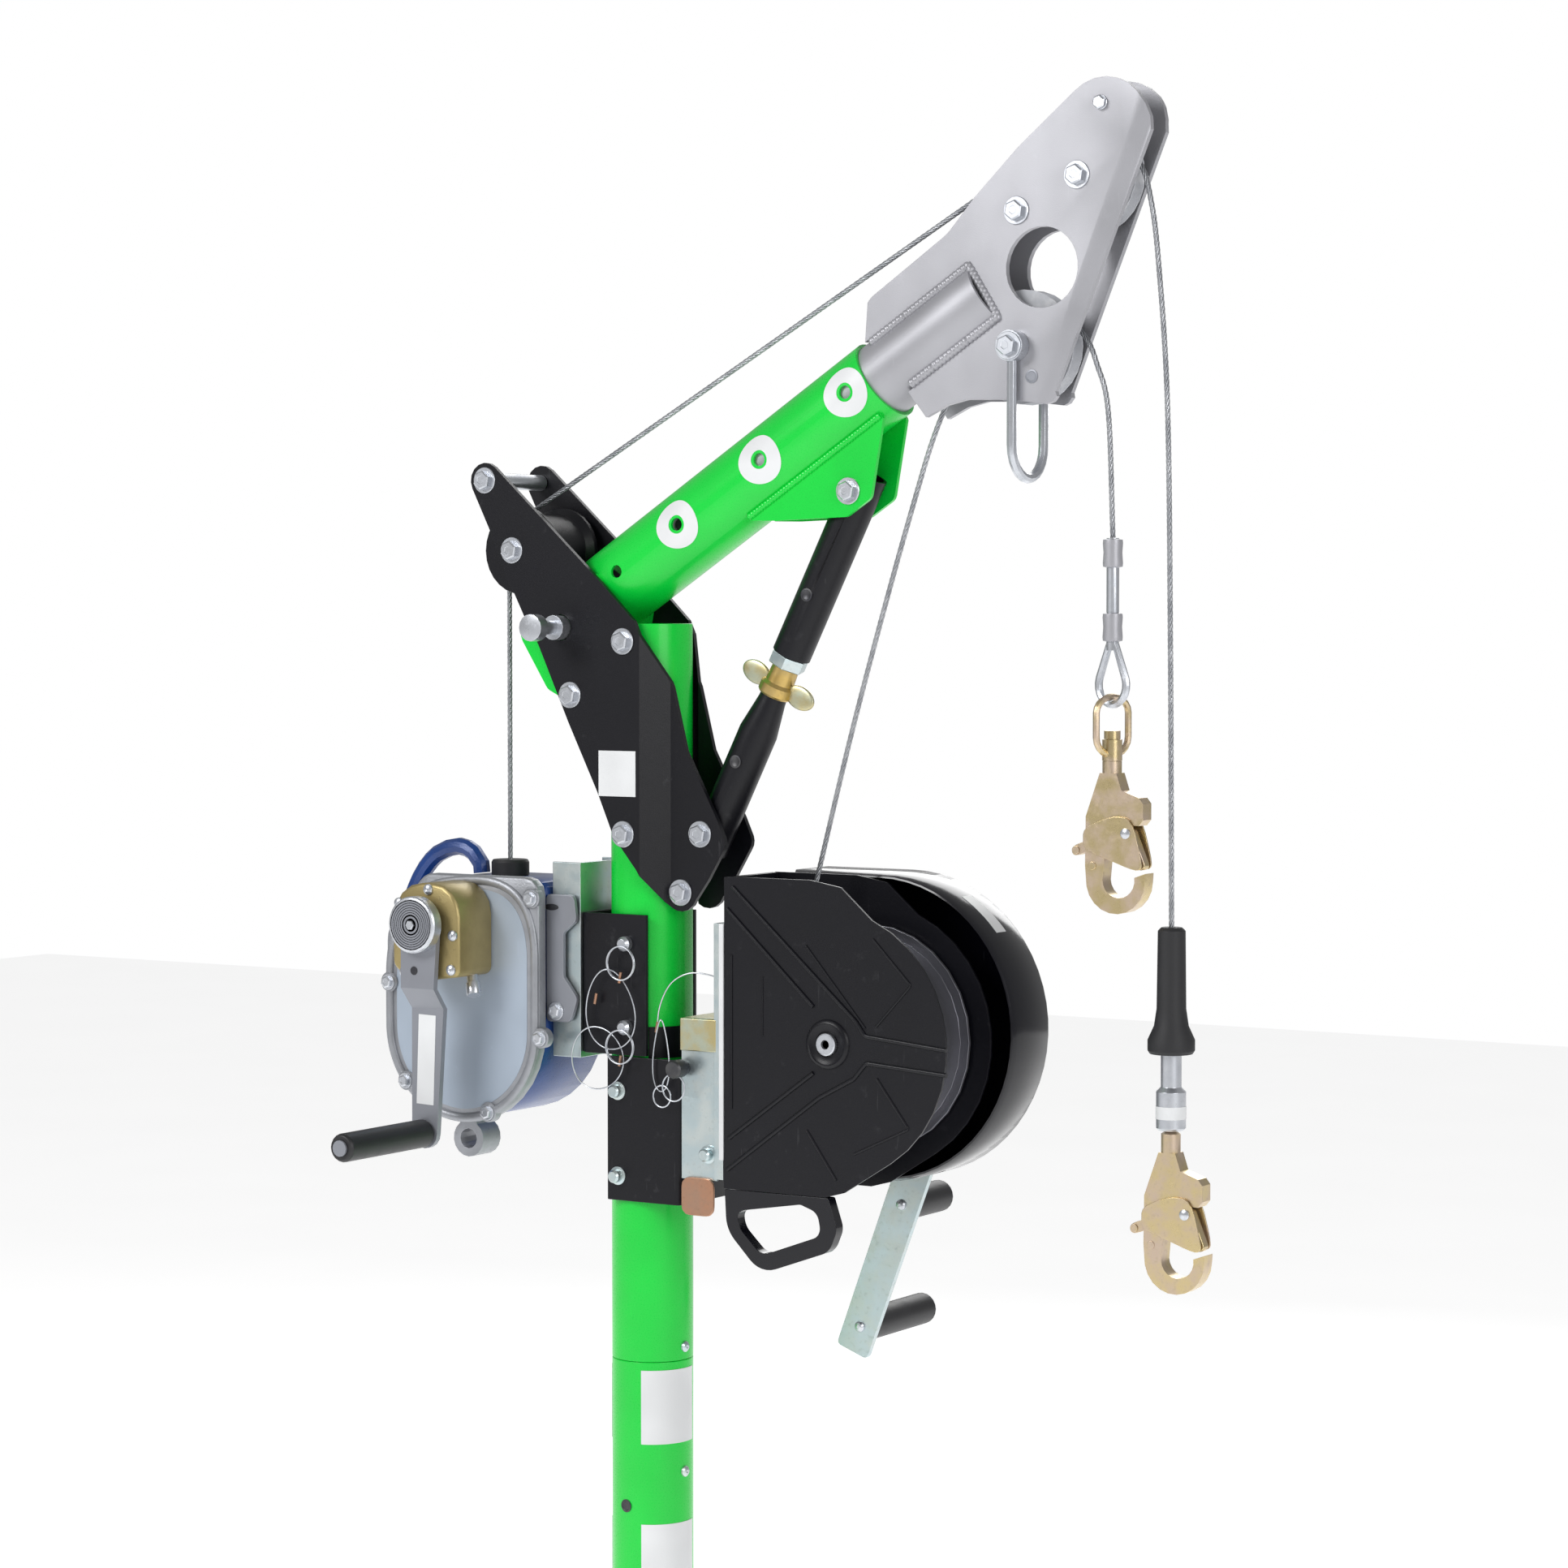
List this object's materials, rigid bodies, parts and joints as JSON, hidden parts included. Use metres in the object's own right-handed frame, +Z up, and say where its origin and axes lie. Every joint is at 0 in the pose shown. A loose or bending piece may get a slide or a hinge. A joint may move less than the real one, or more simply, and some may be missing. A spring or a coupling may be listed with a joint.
{
  "type": "wire rope puller",
  "caption": "Davit-arm wire rope hoist: swivelling mast, telescoping strut-braced boom with sheaves, hand winch, retractable lifeline and snap hooks.",
  "frame": {"origin": "centre of the mast's foot, on the flat end that stands in the socket", "axes": "+Z up along the mast, +X towards the boom and the winch, +Y away from the lifeline unit's crank"},
  "size_m": [0.8826, 0.4928, 1.8529],
  "materials": {
    "green_paint": "bright green gloss paint",
    "black_powder": "black powder coat, fine texture",
    "gloss_black": "gloss black",
    "pale_nylon": "pale grey nylon",
    "zinc_plate": "zinc plate",
    "bright_steel": "bright steel",
    "silver_head": "silver grey powder coat",
    "wire_rope": "galvanised wire rope",
    "blue_casting": "blue paint, lightly textured",
    "cover_casting": "grey cast aluminium",
    "gold_casting": "dull gold finish",
    "crank_grey": "mid grey coat",
    "black_rubber": "matt black rubber",
    "grip_plastic": "matt black plastic",
    "hook_plate": "yellow zinc plate"
  },
  "bodies": {
    "lower_mast": {"lower_mast": "green_paint", "mast_foot_plug": "black_rubber"},
    "mast": {"upper_mast": "green_paint", "side_plate_near": "black_powder", "side_plate_far": "black_powder", "spacer_bolt": "black_powder", "idler_axle": "bright_steel", "boom_pivot_bolt": "bright_steel", "mast_bolt": "bright_steel", "strut_foot_bolt": "bright_steel", "srl_mount_sleeve": "black_powder", "srl_channel": "zinc_plate", "winch_mount_sleeve": "black_powder", "winch_bracket": "zinc_plate", "srl_housing": "blue_casting", "srl_cover": "cover_casting", "srl_gearbox": "gold_casting", "srl_rope_outlet": "black_rubber", "srl_carry_handle": "blue_casting", "srl_side_plate": "crank_grey", "srl_bottom_ring": "cover_casting", "winch_frame": "black_powder", "winch_housing": "gloss_black", "winch_loop_handle": "black_powder"},
    "idler": {"idler_roller": "black_powder"},
    "latch_pin": {"boom_latch_pin": "zinc_plate"},
    "mount_pin_upper": {"srl_mount_pin_upper": "bright_steel"},
    "mount_pin_lower": {"srl_mount_pin_lower": "bright_steel"},
    "srl_drum": {"srl_drum": "bright_steel"},
    "srl_crank": {"srl_crank": "crank_grey"},
    "srl_grip": {"srl_crank_grip": "grip_plastic"},
    "winch_drum": {"winch_drum": "black_powder"},
    "winch_crank": {"winch_crank": "zinc_plate"},
    "winch_grip_mid": {"winch_grip_mid": "grip_plastic"},
    "winch_grip_end": {"winch_grip_end": "grip_plastic"},
    "boom": {"boom_tube": "green_paint", "clevis_bolt": "bright_steel", "rope_srl": "wire_rope", "rope_winch": "wire_rope"},
    "strut_foot": {"strut_lower_tube": "black_powder"},
    "wing_nut": {"strut_wing_nut": "zinc_plate"},
    "strut_top": {"strut_upper_tube": "black_powder"},
    "head": {"head_tube": "silver_head", "head_plate_near": "silver_head", "head_plate_far": "silver_head", "upper_sheave_axle": "bright_steel", "lower_sheave_axle": "bright_steel"},
    "upper_sheave": {"upper_sheave": "pale_nylon"},
    "lower_sheave": {"lower_sheave": "pale_nylon"},
    "shackle": {"shackle": "bright_steel"},
    "rope_a": {"rope_drop_a": "wire_rope", "hook_a_bumper": "black_rubber", "hook_a_swivel": "bright_steel"},
    "hook_a": {"hook_a": "hook_plate"},
    "hook_a_gate": {"hook_a_gate": "hook_plate"},
    "rope_b": {"rope_drop_b": "wire_rope", "hook_b_eye": "bright_steel", "hook_b_ring": "hook_plate"},
    "hook_b": {"hook_b": "hook_plate"},
    "hook_b_gate": {"hook_b_gate": "hook_plate"}
  },
  "joints": [
    {"name": "mast_swivel", "type": "hinge", "parent": "lower_mast", "child": "mast", "pos_m": [0, 0, 0.7], "axis": [0, 0, 1], "continuous": true},
    {"name": "boom_pivot", "type": "hinge", "parent": "mast", "child": "boom", "pos_m": [-0.0591, 0, 1.3182], "axis": [0, -1, 0], "range_deg": [0, 8], "deforming": ["rope_srl", "rope_winch"]},
    {"name": "boom_extension", "type": "slide", "parent": "boom", "child": "head", "axis": [0.8415, 0, 0.5402], "range_m": [0, 0.213], "deforming": ["rope_srl", "rope_winch"]},
    {"name": "strut_foot_pivot", "type": "hinge", "parent": "mast", "child": "strut_foot", "pos_m": [0.0701, 0, 1.1916], "axis": [0, -1, 0], "range_deg": [0, 7.2]},
    {"name": "strut_screw", "type": "slide", "parent": "strut_foot", "child": "strut_top", "axis": [0.4487, 0, 0.8937], "range_m": [0, 0.0256]},
    {"name": "wing_nut_turn", "type": "hinge", "parent": "strut_foot", "child": "wing_nut", "pos_m": [0.0701, 0, 1.1916], "axis": [0.4487, 0, 0.8937], "continuous": true},
    {"name": "idler_spin", "type": "hinge", "parent": "mast", "child": "idler", "pos_m": [-0.1249, 0, 1.4526], "axis": [0, 1, 0], "continuous": true},
    {"name": "latch_pin_pull", "type": "slide", "parent": "mast", "child": "latch_pin", "axis": [0, -1, 0], "range_m": [0, 0.105]},
    {"name": "mount_pin_upper_pull", "type": "slide", "parent": "mast", "child": "mount_pin_upper", "axis": [0, -1, 0], "range_m": [0, 0.1]},
    {"name": "mount_pin_lower_pull", "type": "slide", "parent": "mast", "child": "mount_pin_lower", "axis": [0, -1, 0], "range_m": [0, 0.1]},
    {"name": "srl_drum_spin", "type": "hinge", "parent": "mast", "child": "srl_drum", "pos_m": [-0.172, 0, 1.0033], "axis": [0, 1, 0], "continuous": true},
    {"name": "srl_crank_turn", "type": "hinge", "parent": "mast", "child": "srl_crank", "pos_m": [-0.1735, 0, 1.1058], "axis": [0, 1, 0], "continuous": true},
    {"name": "srl_grip_spin", "type": "hinge", "parent": "srl_crank", "child": "srl_grip", "pos_m": [-0.1805, 0, 0.90892], "axis": [0, 1, 0], "continuous": true},
    {"name": "winch_crank_turn", "type": "hinge", "parent": "mast", "child": "winch_crank", "pos_m": [0.26, 0, 1.0103], "axis": [0, 1, 0], "continuous": true},
    {"name": "winch_drum_spin", "type": "hinge", "parent": "mast", "child": "winch_drum", "pos_m": [0.219, 0, 1.0089], "axis": [0, 1, 0], "continuous": true},
    {"name": "winch_grip_mid_spin", "type": "hinge", "parent": "winch_crank", "child": "winch_grip_mid", "pos_m": [0.19602, 0, 0.84098], "axis": [0, 1, 0], "continuous": true},
    {"name": "winch_grip_end_spin", "type": "hinge", "parent": "winch_crank", "child": "winch_grip_end", "pos_m": [0.15113, 0, 0.72218], "axis": [0, 1, 0], "continuous": true},
    {"name": "upper_sheave_spin", "type": "hinge", "parent": "head", "child": "upper_sheave", "pos_m": [0.45543, 0, 1.7708], "axis": [0, 1, 0], "continuous": true},
    {"name": "lower_sheave_spin", "type": "hinge", "parent": "head", "child": "lower_sheave", "pos_m": [0.39598, 0, 1.62592], "axis": [0, 1, 0], "continuous": true},
    {"name": "shackle_swing", "type": "hinge", "parent": "head", "child": "shackle", "pos_m": [0.39598, 0, 1.62592], "axis": [0, -1, 0], "range_deg": [-20, 30]},
    {"name": "rope_a_swing", "type": "hinge", "parent": "head", "child": "rope_a", "pos_m": [0.45543, 0, 1.7708], "axis": [0, -1, 0], "range_deg": [-1.2, 8], "deforming": ["rope_drop_a"]},
    {"name": "hook_a_swivel_turn", "type": "hinge", "parent": "rope_a", "child": "hook_a", "pos_m": [0.53803, 0, 0.928], "axis": [0, 0, 1], "continuous": true},
    {"name": "hook_a_gate_open", "type": "hinge", "parent": "hook_a", "child": "hook_a_gate", "pos_m": [0.55653, 0, 0.878], "axis": [0, 1, 0], "range_deg": [0, 35], "stiffness_Nm_per_rad": 0.6, "springref_deg": -11.46},
    {"name": "rope_b_swing", "type": "hinge", "parent": "head", "child": "rope_b", "pos_m": [0.39598, 0, 1.62592], "axis": [0, -1, 0], "range_deg": [-8, 1.2], "deforming": ["rope_drop_b"]},
    {"name": "hook_b_swivel_turn", "type": "hinge", "parent": "rope_b", "child": "hook_b", "pos_m": [0.47998, 0, 1.25402], "axis": [0, 0, 1], "continuous": true},
    {"name": "hook_b_gate_open", "type": "hinge", "parent": "hook_b", "child": "hook_b_gate", "pos_m": [0.49848, 0, 1.20402], "axis": [0, 1, 0], "range_deg": [0, 35], "stiffness_Nm_per_rad": 0.6, "springref_deg": -11.46}
  ],
  "couplings": [
    {"joint": "strut_foot_pivot", "follows": "boom_pivot", "ratio": 0.8199},
    {"joint": "strut_screw", "follows": "boom_pivot", "m_per_rad": 0.1687},
    {"joint": "winch_drum_spin", "follows": "winch_crank_turn", "ratio": -0.25}
  ]
}
